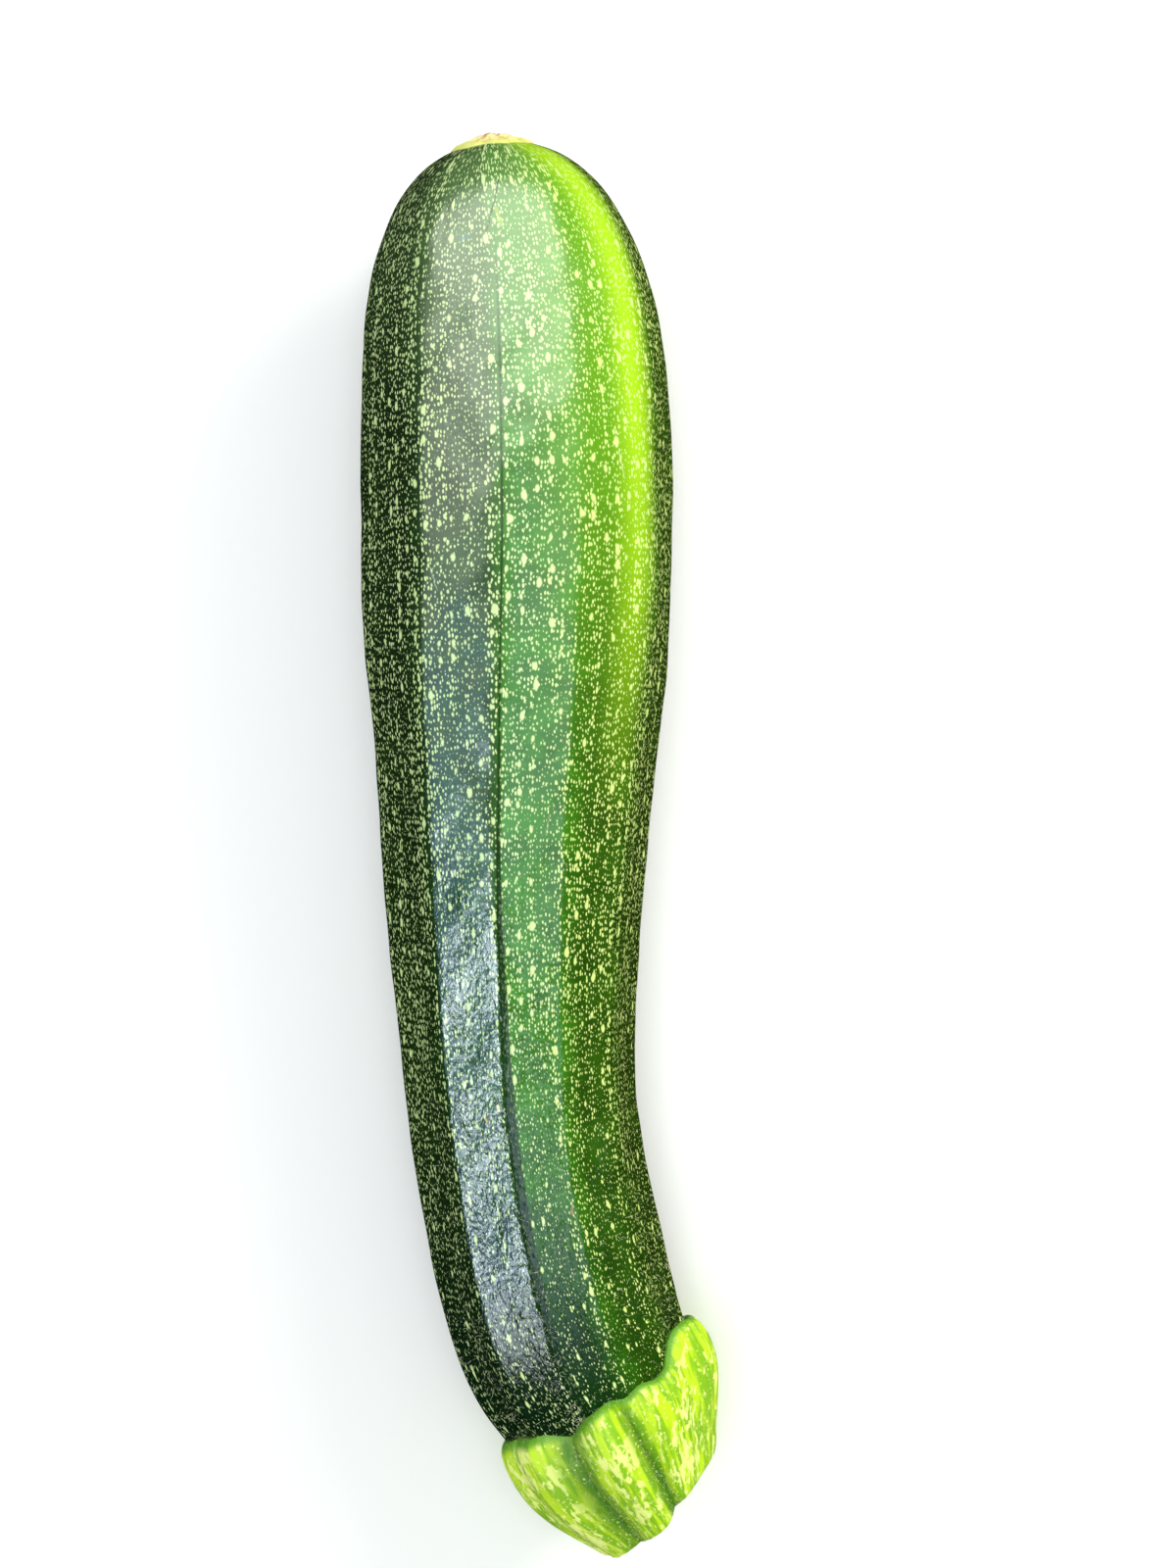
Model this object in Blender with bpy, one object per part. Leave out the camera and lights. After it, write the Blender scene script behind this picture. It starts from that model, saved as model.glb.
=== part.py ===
"""A whole courgette, picked and lying on its side, modelled at its real size.

The row frame is in metres with +Z up. The fruit lies along Y: its blossom end points to +Y,
and its stem end points to -Y and bends towards +X. The surface that it lies on is z = 0, and
the origin is on that surface, under the middle of the whole object.

Three solids stand for the three grown pieces: the ribbed fruit, the lobed stem stub that caps
its narrow end, and the low corky scar that the dried flower left on its blunt end.
All the sizes below are in millimetres and degrees.
"""

import math

import bmesh
import bpy
import numpy as np
from mathutils import Vector

MM = 0.001

# Everything that meets keeps this gap, because the meshes hold 32-bit numbers.
SKIN_GAP = 0.3

# The fruit's axis, from the pole hidden under the stem to the tip of the blossom end.
FRUIT_AXIS = (
    (11.6, -88.7, 17.9),
    (8.2, -82.8, 18.0),
    (4.6, -75.1, 18.2),
    (2.0, -66.5, 18.4),
    (-2.4, -42.7, 19.1),
    (-4.0, -11.9, 20.5),
    (-3.8, 21.1, 22.2),
    (-3.5, 51.1, 23.8),
    (-4.9, 84.6, 25.0),
    (-7.4, 107.9, 27.6),
)

# The fruit's outline: distance along the axis from the pole, and radius over the ribs.
FRUIT_OUTLINE = (
    (0.0, 0.0),
    (0.9, 7.0),
    (2.6, 13.4),
    (4.8, 15.9),
    (8.0, 16.9),
    (14.0, 17.7),
    (23.7, 18.1),
    (42.0, 17.8),
    (60.5, 18.3),
    (84.8, 20.2),
    (103.0, 21.6),
    (124.2, 23.5),
    (142.4, 24.1),
    (160.5, 23.7),
    (175.7, 22.0),
    (186.5, 18.7),
    (193.2, 14.6),
    (197.2, 10.0),
    (198.9, 6.2),
    (199.5, 3.0),
    (199.6, 0.0),
)


class Rib:
    """One lengthwise rib of the fruit.

    at_stem and at_blossom are its angles at the two ends, from straight up and positive
    towards +X, and height is how far it stands over the mean rib, as a share of the radius.
    """

    def __init__(self, at_stem, at_blossom, height):
        self.at_stem = at_stem
        self.at_blossom = at_blossom
        self.height = height


FRUIT_RIBS = (
    Rib(-156.0, -160.0, 0.008),
    Rib(-117.0, -116.0, -0.012),
    Rib(-79.0, -77.0, 0.004),
    Rib(-37.0, -35.0, -0.004),
    Rib(-8.0, -2.5, 0.012),
    Rib(20.0, 27.0, -0.014),
    Rib(47.0, 58.0, 0.006),
    Rib(85.0, 90.0, -0.006),
    Rib(126.0, 128.0, 0.008),
    Rib(164.0, 159.0, -0.004),
)

# A face between two ribs of a true polygon is 1 part flat. The faces are that flat at the
# neck, and swell out towards the blossom end.
FACE_FLATNESS = ((0.0, 1.05), (45.0, 1.05), (85.0, 0.8), (140.0, 0.55), (185.0, 0.3), (199.6, 0.0))
RIB_ROUNDING = ((0.0, 0.10), (60.0, 0.14), (140.0, 0.30), (199.6, 0.60))
RIB_HEIGHT_SHARE = ((0.0, 1.0), (60.0, 1.0), (140.0, 0.5), (199.6, 0.0))

# The skin settles onto the surface by this much, which leaves the flat spots that it rests on.
REST_SINK = 0.40

# The skin's grid: rows from pole to pole, how far they crowd towards the two domed ends from 0
# to 1, and steps across each face.
FRUIT_ROWS = 46
END_CROWDING = 0.55
FACE_STEPS = 7

# The axis's direction at a place is taken this far to each side of it.
AXIS_STEP = 0.5

# The stem stub: its root is on the fruit's axis at the neck, and it heads this far from -Y
# towards +X and climbs a little.
STEM_ROOT = (8.9, -82.5, 18.2)
STEM_HEADING = 28.6
STEM_CLIMB = 1.0

# The stub's rings: distance from the root, mean radius, how far the ring turns in plan from
# square to the stub, and how far its top leans out towards the cut. The lip sits askew on the
# neck, and the cut is slanting both ways.
STEM_RINGS = (
    (0.5, 16.2, 4.0, 4.0),
    (0.2, 17.3, 4.0, 4.0),
    (0.9, 18.1, 4.5, 4.0),
    (2.2, 18.6, 5.5, 4.0),
    (4.6, 18.8, 7.5, 4.0),
    (7.8, 18.4, 9.5, 4.5),
    (11.2, 17.2, 11.5, 5.0),
    (14.8, 15.3, 13.5, 6.0),
    (17.7, 13.6, 15.0, 6.5),
    (19.9, 12.4, 16.0, 7.0),
    (20.7, 11.9, 16.5, 7.0),
)

# The lip is wavy: how far it reaches up the neck at each angle, and the distance along the stub
# over which that fades out.
STEM_LIP = (
    (-180.0, 0.0),
    (-90.0, 0.2),
    (-52.0, 0.9),
    (-38.0, 0.6),
    (-23.0, -1.2),
    (-8.0, 0.3),
    (3.0, 0.5),
    (13.0, -0.6),
    (22.0, -0.1),
    (34.0, -1.1),
    (43.0, -0.5),
    (52.0, 2.2),
    (63.0, 2.7),
    (76.0, 1.2),
    (95.0, 0.2),
    (180.0, 0.0),
)
LIP_FADE = 5.5


class Lobe:
    """One lobe of the stem's section, with each value at the root and at the cut.

    crest is its angle, height is how far the crest stands over the mean radius, and groove is
    how deep the furrow after it is cut, the last two as shares of the radius.
    """

    def __init__(self, crest, height, groove):
        self.crest = crest
        self.height = height
        self.groove = groove


STEM_LOBES = (
    Lobe((-144.0, -148.0), (0.03, 0.03), (0.07, 0.07)),
    Lobe((-111.0, -114.0), (-0.03, 0.00), (0.09, 0.07)),
    Lobe((-76.0, -86.0), (0.02, 0.06), (0.06, 0.05)),
    Lobe((-44.0, -60.0), (-0.01, 0.02), (0.20, 0.17)),
    Lobe((-4.0, -2.0), (0.02, 0.08), (0.10, 0.24)),
    Lobe((20.0, 27.0), (-0.01, -0.12), (0.08, 0.04)),
    Lobe((68.0, 78.0), (0.08, 0.00), (0.10, 0.08)),
    Lobe((104.0, 112.0), (0.00, -0.03), (0.09, 0.08)),
    Lobe((142.0, 144.0), (0.03, 0.03), (0.10, 0.10)),
    Lobe((178.0, 177.0), (-0.03, -0.03), (0.09, 0.09)),
)

FURROW_SHARPNESS = 0.8
LOBE_STEPS = 8

# The cut face is this deep in its middle. The stub's inner pole stays inside the fruit, where
# it is cut away.
CUT_DISH = 0.9
CUT_RINGS = 4
INNER_POLE = 3.0

# The flower's scar: an irregular low cone with a broken ring of dried tissue round a small
# stump, sunk a little into the blunt end.
SCAR_OUTLINE = (
    (-1.9, 6.2),
    (-0.8, 6.4),
    (-0.2, 5.8),
    (0.3, 4.6),
    (0.7, 3.4),
    (1.15, 2.5),
    (1.35, 1.9),
    (1.05, 1.3),
    (1.4, 0.8),
)
SCAR_TIP = 1.6
SCAR_SOLE = -2.4
SCAR_STEPS = 40

# Its unevenness: (count round it, size, phase) of the waves of its outline, as shares of the
# radius, and of the bumps of the broken ring, which starts at the given lift.
SCAR_WAVES = ((3, 0.04, 0.4), (5, 0.035, 1.9), (8, 0.02, 4.0))
SCAR_BUMPS = ((4, 0.10, 0.9), (7, 0.08, 2.6))
BUMPS_START = 0.5

# Linear colours, and how rough each surface is.
SKIN_GREEN = (0.045, 0.115, 0.025, 1.0)
SKIN_ROUGHNESS = 0.32
STEM_GREEN = (0.36, 0.62, 0.05, 1.0)
STEM_ROUGHNESS = 0.5
SCAR_TAN = (0.62, 0.54, 0.22, 1.0)
SCAR_ROUGHNESS = 0.85
SHARP_ANGLE = 40.0


def clear_scene():
    """Removes the objects that the scene starts with."""
    for old in list(bpy.data.objects):
        bpy.data.objects.remove(old)


def plain_material(name, colour, roughness):
    """A non-metal surface of one colour."""
    material = bpy.data.materials.new(name)
    material.use_nodes = True
    shader = material.node_tree.nodes["Principled BSDF"]
    shader.inputs["Base Color"].default_value = colour
    shader.inputs["Roughness"].default_value = roughness
    shader.inputs["Metallic"].default_value = 0.0
    return material


def smooth_curve(knots, values, at):
    """Values at the given places on a cubic curve through the knots.

    Each knot's slope is the weighted mean of the slopes of the spans beside it, and an end's
    slope is its own span's.
    """
    knots = np.asarray(knots, float)
    values = np.asarray(values, float).reshape(len(knots), -1)
    span = np.diff(knots)
    slope = np.diff(values, axis=0) / span[:, None]
    inner = slope[:-1] * span[1:, None] + slope[1:] * span[:-1, None]
    inner /= (span[:-1] + span[1:])[:, None]
    tangent = np.vstack([slope[:1], inner, slope[-1:]])
    at = np.clip(np.asarray(at, float), knots[0], knots[-1])
    k = np.clip(np.searchsorted(knots, at, side="right") - 1, 0, len(span) - 1)
    h = span[k][:, None]
    t = ((at - knots[k]) / span[k])[:, None]
    start = (1 + 2 * t) * (1 - t) ** 2 * values[k] + t * (1 - t) ** 2 * h * tangent[k]
    end = t**2 * (3 - 2 * t) * values[k + 1] + t**2 * (t - 1) * h * tangent[k + 1]
    return start + end


def lengths_along(points):
    """Distance from the first point to each point, along straight spans."""
    points = np.asarray(points, float)
    steps = np.linalg.norm(np.diff(points, axis=0), axis=1)
    return np.concatenate([[0.0], np.cumsum(steps)])


def by_distance(stations, distance):
    """A curve through (distance, value) stations, read at the given distances."""
    knots, values = zip(*stations)
    return smooth_curve(knots, values, distance)[:, 0]


def fruit_outline(rows, grow):
    """(distance, radius) of each row of the fruit's skin, from pole to pole.

    The rows are closer together on the two domed ends. grow moves the outline outwards.
    """
    outline = np.array(FRUIT_OUTLINE)
    knots = lengths_along(outline)
    even = np.linspace(0.0, 1.0, rows)
    crowded = 0.5 - 0.5 * np.cos(math.pi * even)
    place = (even + END_CROWDING * (crowded - even)) * knots[-1]
    line = smooth_curve(knots, outline, place)
    run = np.gradient(line, axis=0)
    run /= np.linalg.norm(run, axis=1)[:, None]
    outwards = np.stack([-run[:, 1], run[:, 0]], axis=1)
    line = line + grow * outwards
    line[[0, -1], 1] = 0.0
    line[0, 0] = -grow
    line[-1, 0] = outline[-1, 0] + grow
    return line[:, 0], np.maximum(line[:, 1], 0.0)


def fruit_section(distance, steps):
    """Angle and share of the radius round the fruit, as two grids of one row per distance.

    The columns run from rib to rib in equal steps, so that every rib is a line of corners.
    A face is a sine arch turned inwards between two ribs: as deep as a flat face would be
    times the flatness, and blunted at the ribs by the rounding.
    """
    length = FRUIT_OUTLINE[-1][0]
    share = np.clip(distance / length, 0.0, 1.0)[:, None]
    stem = np.array([rib.at_stem for rib in FRUIT_RIBS])
    blossom = np.array([rib.at_blossom for rib in FRUIT_RIBS])
    ribs = stem + (blossom - stem) * share
    following = np.concatenate([ribs[:, 1:], ribs[:, :1] + 360.0], axis=1)
    part = np.arange(steps) / steps
    angle = ribs[:, :, None] + (following - ribs)[:, :, None] * part
    heights = np.array([rib.height for rib in FRUIT_RIBS])
    blend = 0.5 - 0.5 * np.cos(math.pi * part)
    rise = heights[:, None] + (np.roll(heights, -1) - heights)[:, None] * blend
    rounding = by_distance(RIB_ROUNDING, distance)[:, None]
    arch = np.sqrt(np.sin(math.pi * part) ** 2 + rounding**2) - rounding
    arch /= np.sqrt(1.0 + rounding**2) - rounding
    flat_depth = 1.0 - np.cos(np.radians(following - ribs) / 2.0)
    flatness = by_distance(FACE_FLATNESS, distance)[:, None]
    depth = (flat_depth * flatness)[:, :, None] * arch[:, None, :]
    rise = rise[None] * by_distance(RIB_HEIGHT_SHARE, distance)[:, None, None]
    section = 1.0 + rise - depth
    rows = len(distance)
    return np.radians(angle.reshape(rows, -1)), section.reshape(rows, -1)


def axis_frames(distance):
    """Point, side direction and up direction of the fruit's axis at each distance."""
    axis = np.array(FRUIT_AXIS)
    knots = lengths_along(axis)
    scale = knots[-1] / FRUIT_OUTLINE[-1][0]
    point = smooth_curve(knots, axis, distance * scale)
    ahead = smooth_curve(knots, axis, distance * scale + AXIS_STEP)
    behind = smooth_curve(knots, axis, distance * scale - AXIS_STEP)
    along = ahead - behind
    along /= np.linalg.norm(along, axis=1)[:, None]
    overshoot = distance * scale - np.clip(distance * scale, 0.0, knots[-1])
    point = point + along * overshoot[:, None]
    side = np.cross(along, [0.0, 0.0, 1.0])
    side /= np.linalg.norm(side, axis=1)[:, None]
    return point, side, np.cross(side, along)


def tube_mesh(name, rings, first_pole, last_pole):
    """A closed mesh through rings of points, with a fan of triangles at each end.

    rings has the shape (rows, columns, 3), in millimetres.
    """
    rows, columns = rings.shape[:2]
    points = np.vstack([rings.reshape(-1, 3), [first_pole], [last_pole]]) * MM
    row = np.arange(rows - 1)[:, None] * columns
    column = np.arange(columns)[None, :]
    following = (column + 1) % columns
    corners = (row + column, row + following, row + columns + following, row + columns + column)
    faces = np.stack(corners, axis=2).reshape(-1, 4).tolist()
    first, last = rows * columns, rows * columns + 1
    base = (rows - 1) * columns
    for here in range(columns):
        after = (here + 1) % columns
        faces.append([first, after, here])
        faces.append([last, base + here, base + after])
    mesh = bpy.data.meshes.new(name)
    mesh.from_pydata(points.tolist(), [], faces)
    working = bmesh.new()
    working.from_mesh(mesh)
    bmesh.ops.recalc_face_normals(working, faces=working.faces)
    working.to_mesh(mesh)
    working.free()
    return mesh


def add_object(name, mesh, material=None):
    """An object that shows the mesh in the material, smooth but for its hard edges."""
    solid = bpy.data.objects.new(name, mesh)
    bpy.context.scene.collection.objects.link(solid)
    mesh.shade_smooth()
    mesh.set_sharp_from_angle(angle=math.radians(SHARP_ANGLE))
    if material is not None:
        mesh.materials.append(material)
    return solid


def fruit_mesh(name, grow=0.0):
    """The ribbed fruit, settled on the surface. grow makes it larger all round, for a cutter."""
    distance, radius = fruit_outline(FRUIT_ROWS, grow)
    angle, section = fruit_section(distance, FACE_STEPS)
    point, side, up = axis_frames(distance)
    reach = (radius[:, None] * section)[:, :, None]
    skin = point[:, None] + reach * (
        np.sin(angle)[:, :, None] * side[:, None] + np.cos(angle)[:, :, None] * up[:, None]
    )
    skin[:, :, 2] -= REST_SINK
    if grow == 0.0:
        skin[:, :, 2] = np.maximum(skin[:, :, 2], 0.0)
    poles = skin[0].mean(axis=0), skin[-1].mean(axis=0)
    return tube_mesh(name, skin[1:-1], *poles)


def stem_mesh(name):
    """The stub in its own frame: +Z along it towards the cut, +Y up, its root at the origin.

    Its outside is a ring of lobes. A lobe's crest is a cosine arch, and the furrow between
    two crests is the sharp foot of that arch. The lip reaches up the neck by its own curve.
    The cut end is dished, and the underside is settled on the surface like the fruit's.
    """
    rings = np.array(STEM_RINGS)
    share = np.linspace(0.0, 1.0, len(rings))[:, None]
    shapes = np.array([(lobe.crest, lobe.height, lobe.groove) for lobe in STEM_LOBES])
    crests, heights, grooves = (
        pair[:, 0] + (pair[:, 1] - pair[:, 0]) * share for pair in shapes.transpose(1, 0, 2)
    )
    following = np.concatenate([crests[:, 1:], crests[:, :1] + 360.0], axis=1)
    part = np.arange(LOBE_STEPS) / LOBE_STEPS
    angle = crests[:, :, None] + (following - crests)[:, :, None] * part
    blend = 0.5 - 0.5 * np.cos(math.pi * part)
    rise = heights[:, :, None] + (np.roll(heights, -1, axis=1) - heights)[:, :, None] * blend
    furrow = grooves[:, :, None] * (1.0 - np.abs(np.cos(math.pi * part))) ** FURROW_SHARPNESS
    section = (1.0 + rise - furrow).reshape(len(rings), -1)
    angle = np.radians(angle.reshape(len(rings), -1))

    wrapped = np.degrees(np.arctan2(np.sin(angle), np.cos(angle)))
    lip = by_distance(STEM_LIP, wrapped.ravel()).reshape(wrapped.shape)
    lip *= np.exp(-((rings[:, :1] / LIP_FADE) ** 2))
    turn, lean = np.radians(rings[:, 2:]).T[:, :, None]
    reach = rings[:, 1][:, None] * section
    across = reach * np.sin(angle)
    upwards = reach * np.cos(angle)
    along = rings[:, 0][:, None] - across * np.sin(turn) + upwards * np.sin(lean) - lip
    climb = math.radians(STEM_CLIMB)
    surface = (REST_SINK - STEM_ROOT[2] - along * math.sin(climb)) / math.cos(climb)
    skin = np.stack([across * np.cos(turn), np.maximum(upwards, surface), along], axis=2)
    centre = np.array([0.0, 0.0, rings[-1, 0]])
    inwards = np.linspace(1.0, 0.0, CUT_RINGS + 1)[1:-1]
    face = [
        centre + (skin[-1] - centre) * keep - [0.0, 0.0, CUT_DISH * (1.0 - keep**2)]
        for keep in inwards
    ]
    rings_out = np.concatenate([skin, np.array(face)])
    inner_pole = (0.0, 0.0, rings[0, 0] + INNER_POLE)
    return tube_mesh(name, rings_out, inner_pole, centre - [0.0, 0.0, CUT_DISH])


def scar_mesh(name):
    """The scar in its own frame: +Z out of the fruit's tip, with the tip at the origin."""
    angle = np.arange(SCAR_STEPS) * 2.0 * math.pi / SCAR_STEPS
    waves = sum(size * np.sin(count * angle + phase) for count, size, phase in SCAR_WAVES)
    bumps = sum(size * np.sin(count * angle + phase) for count, size, phase in SCAR_BUMPS)
    outline = np.array(SCAR_OUTLINE)
    reach = outline[:, 1][:, None] * (1.0 + waves)
    lift = np.where(outline[:, 0] > BUMPS_START, 1.0, 0.0)[:, None] * bumps
    rings = np.stack(
        [
            reach * np.cos(angle),
            reach * np.sin(angle),
            outline[:, 0][:, None] + lift,
        ],
        axis=2,
    )
    return tube_mesh(name, rings, (0.0, 0.0, SCAR_SOLE), (0.0, 0.0, SCAR_TIP))


def cut_to_fruit(solid, cutter):
    """Cuts away what would reach into the fruit, and leaves the gap round it."""
    trim = solid.modifiers.new("clear_of_fruit", "BOOLEAN")
    trim.operation = "DIFFERENCE"
    trim.solver = "EXACT"
    trim.object = cutter


def build():
    """Makes the three solids and hangs them on one empty at the origin."""
    clear_scene()
    whole = bpy.data.objects.new("courgette", None)
    bpy.context.scene.collection.objects.link(whole)

    skin = plain_material("courgette_skin", SKIN_GREEN, SKIN_ROUGHNESS)
    stem_skin = plain_material("stem_skin", STEM_GREEN, STEM_ROUGHNESS)
    cork = plain_material("scar_cork", SCAR_TAN, SCAR_ROUGHNESS)

    fruit = add_object("fruit", fruit_mesh("fruit"), skin)
    cutter = add_object("fruit_clearance", fruit_mesh("fruit_clearance", SKIN_GAP))
    cutter.hide_render = True
    cutter.display_type = "WIRE"

    stem = add_object("stem", stem_mesh("stem"), stem_skin)
    stem.location = Vector(STEM_ROOT) * MM
    stem.location.z -= REST_SINK * MM
    stem.rotation_euler = (math.radians(90.0 - STEM_CLIMB), 0.0, math.radians(STEM_HEADING))
    cut_to_fruit(stem, cutter)

    scar = add_object("flower_scar", scar_mesh("flower_scar"), cork)
    tip, side, up = axis_frames(np.array([FRUIT_OUTLINE[-1][0]]))
    scar.location = Vector(tip[0]) * MM
    scar.location.z -= REST_SINK * MM
    outwards = Vector(np.cross(up[0], side[0]))
    scar.rotation_mode = "QUATERNION"
    scar.rotation_quaternion = outwards.to_track_quat("Z", "Y")
    cut_to_fruit(scar, cutter)

    for piece in (fruit, stem, scar, cutter):
        piece.parent = whole


build()
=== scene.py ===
"""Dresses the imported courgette: its speckled skin, downy stem, flower scar, hairs and blemishes.

The courgette lies on its side along Y. Its blossom end points to +Y, and its stem bends towards
+X. Sizes here are in millimetres and degrees, in the frame's own axes, and only the last step of
each mesh turns them to metres. A place on the fruit is a distance from the pole under the stem,
and an angle round it from straight up, positive towards +X.
"""

import logging
import math
from collections.abc import Callable
from dataclasses import dataclass
from enum import Enum, IntEnum
from functools import partial

import bpy
import numpy as np
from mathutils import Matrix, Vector


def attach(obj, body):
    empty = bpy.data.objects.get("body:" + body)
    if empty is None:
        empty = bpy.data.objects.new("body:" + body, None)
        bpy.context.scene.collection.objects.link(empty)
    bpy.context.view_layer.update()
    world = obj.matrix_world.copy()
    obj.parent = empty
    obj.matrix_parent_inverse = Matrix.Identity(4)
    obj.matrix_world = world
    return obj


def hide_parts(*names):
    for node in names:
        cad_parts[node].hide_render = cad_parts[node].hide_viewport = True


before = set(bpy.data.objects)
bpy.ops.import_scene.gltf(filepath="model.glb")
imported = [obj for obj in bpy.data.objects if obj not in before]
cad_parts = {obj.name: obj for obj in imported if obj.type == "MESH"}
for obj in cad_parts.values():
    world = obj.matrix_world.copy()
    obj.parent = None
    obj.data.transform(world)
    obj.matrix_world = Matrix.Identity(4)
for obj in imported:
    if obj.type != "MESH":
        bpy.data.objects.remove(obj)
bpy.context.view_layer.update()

LOG = logging.getLogger("courgette")
MM = 0.001
BODY = "root"
Knots = tuple[tuple[float, ...], ...]
Socket = bpy.types.NodeSocket
Node = bpy.types.Node
Material = bpy.types.Material
Object = bpy.types.Object
Add = Callable[..., Node]

# What nodes of a kind are set to unless told otherwise: a product, a smooth step, a colour blend.
USUAL = {
    "Math": {"operation": "MULTIPLY"},
    "VectorMath": {"operation": "MULTIPLY"},
    "MapRange": {"interpolation_type": "SMOOTHSTEP"},
    "Mix": {"data_type": "RGBA"},
}


class MixSocket(IntEnum):
    """The inputs of a Mix node that blends colours."""

    FACTOR = 0
    BELOW = 6
    ABOVE = 7


class Rays(Enum):
    """Which of the light's rays a lamp gives: to matt skin, and to gloss."""

    FILL = (True, False)
    GLINT = (False, True)


def linear(colour: str) -> tuple[float, float, float, float]:
    """Turns an sRGB hex colour to the linear values that a shader takes.

    Args:
        colour: six hex digits after a hash sign.

    Returns:
        Red, green, blue and a full alpha.
    """
    parts = [int(colour[start : start + 2], 16) / 255.0 for start in (1, 3, 5)]
    red, green, blue = (
        part / 12.92 if part <= 0.04045 else ((part + 0.055) / 1.055) ** 2.4 for part in parts
    )
    return red, green, blue, 1.0


def set_inputs(node: Node, inputs: dict | tuple) -> None:
    """Sets or links a node's inputs.

    Args:
        node: the node.
        inputs: values in the order of its inputs, or by name or number. A hex colour is made
            linear, an output is linked, and a node is linked by its first output in use.
    """
    for name, value in inputs.items() if isinstance(inputs, dict) else enumerate(inputs):
        if isinstance(value, str):
            value = linear(value)
        if isinstance(value, Node):
            value = next(output for output in value.outputs if output.enabled)
        if isinstance(value, Socket):
            node.id_data.links.new(value, node.inputs[name])
        else:
            node.inputs[name].default_value = value


def add_node(tree: bpy.types.NodeTree, kind: str, inputs: dict | tuple = (), **settings) -> Node:
    """Adds a node with its settings and links.

    Args:
        tree: the material's node tree.
        kind: its type, without the ShaderNode that each starts with.
        inputs: what its inputs get, as set_inputs takes them.
        settings: its own settings, over those usual for its kind.

    Returns:
        The node.
    """
    node = tree.nodes.new("ShaderNode" + kind)
    for name, value in (USUAL.get(kind, {}) | settings).items():
        setattr(node, name, value)
    set_inputs(node, inputs)
    return node


def start_material(name: str) -> tuple[Material, Add]:
    """Starts a material with one Principled shader.

    Args:
        name: the material's name.

    Returns:
        The material, and the function that adds a node to it.
    """
    material = bpy.data.materials.new(name)
    material.use_nodes = True
    return material, partial(add_node, material.node_tree)


def finish_material(material: Material, **inputs: object) -> Material:
    """Sets or links the shader's inputs, with underscores for the spaces of their names."""
    shader = material.node_tree.nodes["Principled BSDF"]
    set_inputs(shader, {name.replace("_", " "): value for name, value in inputs.items()})
    return material


def masked(add: Add, *steps: tuple | Node) -> Node:
    """Multiplies smooth steps together.

    Args:
        add: adds a node to the material.
        steps: each a ready mask, or what it reads, where it starts and ends, and its values there.

    Returns:
        The mask of them all.
    """
    mask, *rest = (add("MapRange", step) if isinstance(step, tuple) else step for step in steps)
    for share in rest:
        mask = add("Math", (mask, share))
    return mask


def layered(add: Add, ground: str | Node, *layers: tuple) -> str | Node:
    """Lays colours over a ground one after another, each as far as its mask shows it.

    Args:
        add: adds a node to the material.
        ground: the hex colour under them all, or the node that gives it.
        layers: each layer's hex colour or the node that gives it, then the steps of its mask.

    Returns:
        The colour seen.
    """
    for shown, *steps in layers:
        mask = masked(add, *steps)
        mix = {MixSocket.FACTOR: mask, MixSocket.BELOW: ground, MixSocket.ABOVE: shown}
        ground = add("Mix", mix)
    return ground


def off_by(add: Add, reading: Node | Socket, middle: Node | float) -> Node:
    """How far a reading is from a middle value, either way."""
    gap = add("Math", (reading, middle), operation="SUBTRACT")
    return add("Math", (gap,), operation="ABSOLUTE")


def moved_about(add: Add, place: Node | Socket, spacing: float, reach: float) -> Node:
    """Moves a place at random, by a noise colour less a half, times twice the reach.

    Args:
        add: adds a node to the material.
        place: the place, in millimetres.
        spacing: how far apart the moves change.
        reach: how far they go.

    Returns:
        The moved place.
    """
    noise = add("TexNoise", {"Vector": place, "Scale": 1.0 / spacing, "Detail": 1.0})
    reaches = (2.0 * reach,) * 3
    step = add(
        "VectorMath",
        (noise.outputs["Color"], reaches, tuple(-part / 2.0 for part in reaches)),
        operation="MULTIPLY_ADD",
    )
    return add("VectorMath", (place, step), operation="ADD")


def smooth_curve(knots: np.ndarray, values: np.ndarray, at: np.ndarray) -> np.ndarray:
    """Values at the given places on a cubic curve through the knots.

    Each knot's slope is the weighted mean of the slopes of the spans beside it, and an end's
    slope is its own span's. Between two knots the value is a cubic that has those slopes.

    Args:
        knots: rising places of the known values.
        values: one row of values for each knot.
        at: the places to read.

    Returns:
        One row for each place.
    """
    knots = np.asarray(knots, float)
    values = np.asarray(values, float).reshape(len(knots), -1)
    span = np.diff(knots)
    slope = np.diff(values, axis=0) / span[:, None]
    inner = slope[:-1] * span[1:, None] + slope[1:] * span[:-1, None]
    inner /= (span[:-1] + span[1:])[:, None]
    tangent = np.vstack([slope[:1], inner, slope[-1:]])
    at = np.clip(np.asarray(at, float), knots[0], knots[-1])
    k = np.clip(np.searchsorted(knots, at, side="right") - 1, 0, len(span) - 1)
    h = span[k][:, None]
    t = ((at - knots[k]) / span[k])[:, None]
    start = (1 + 2 * t) * (1 - t) ** 2 * values[k] + t * (1 - t) ** 2 * h * tangent[k]
    end = t**2 * (3 - 2 * t) * values[k + 1] + t**2 * (t - 1) * h * tangent[k + 1]
    return start + end


def by_station(stations: Knots, at: np.ndarray) -> np.ndarray:
    """Reads a curve through (place, value) stations, at an array of places of any shape."""
    knots, values = zip(*stations)
    return smooth_curve(np.array(knots), np.array(values), at.ravel())[:, 0].reshape(at.shape)


def lengths_along(points: np.ndarray) -> np.ndarray:
    """Distance from the first point to each point, along straight spans."""
    steps = np.linalg.norm(np.diff(points, axis=0), axis=1)
    return np.concatenate([[0.0], np.cumsum(steps)])


def unit(vectors: np.ndarray) -> np.ndarray:
    """The same directions, each one long."""
    return vectors / np.maximum(np.linalg.norm(vectors, axis=-1, keepdims=True), 1e-12)


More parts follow.
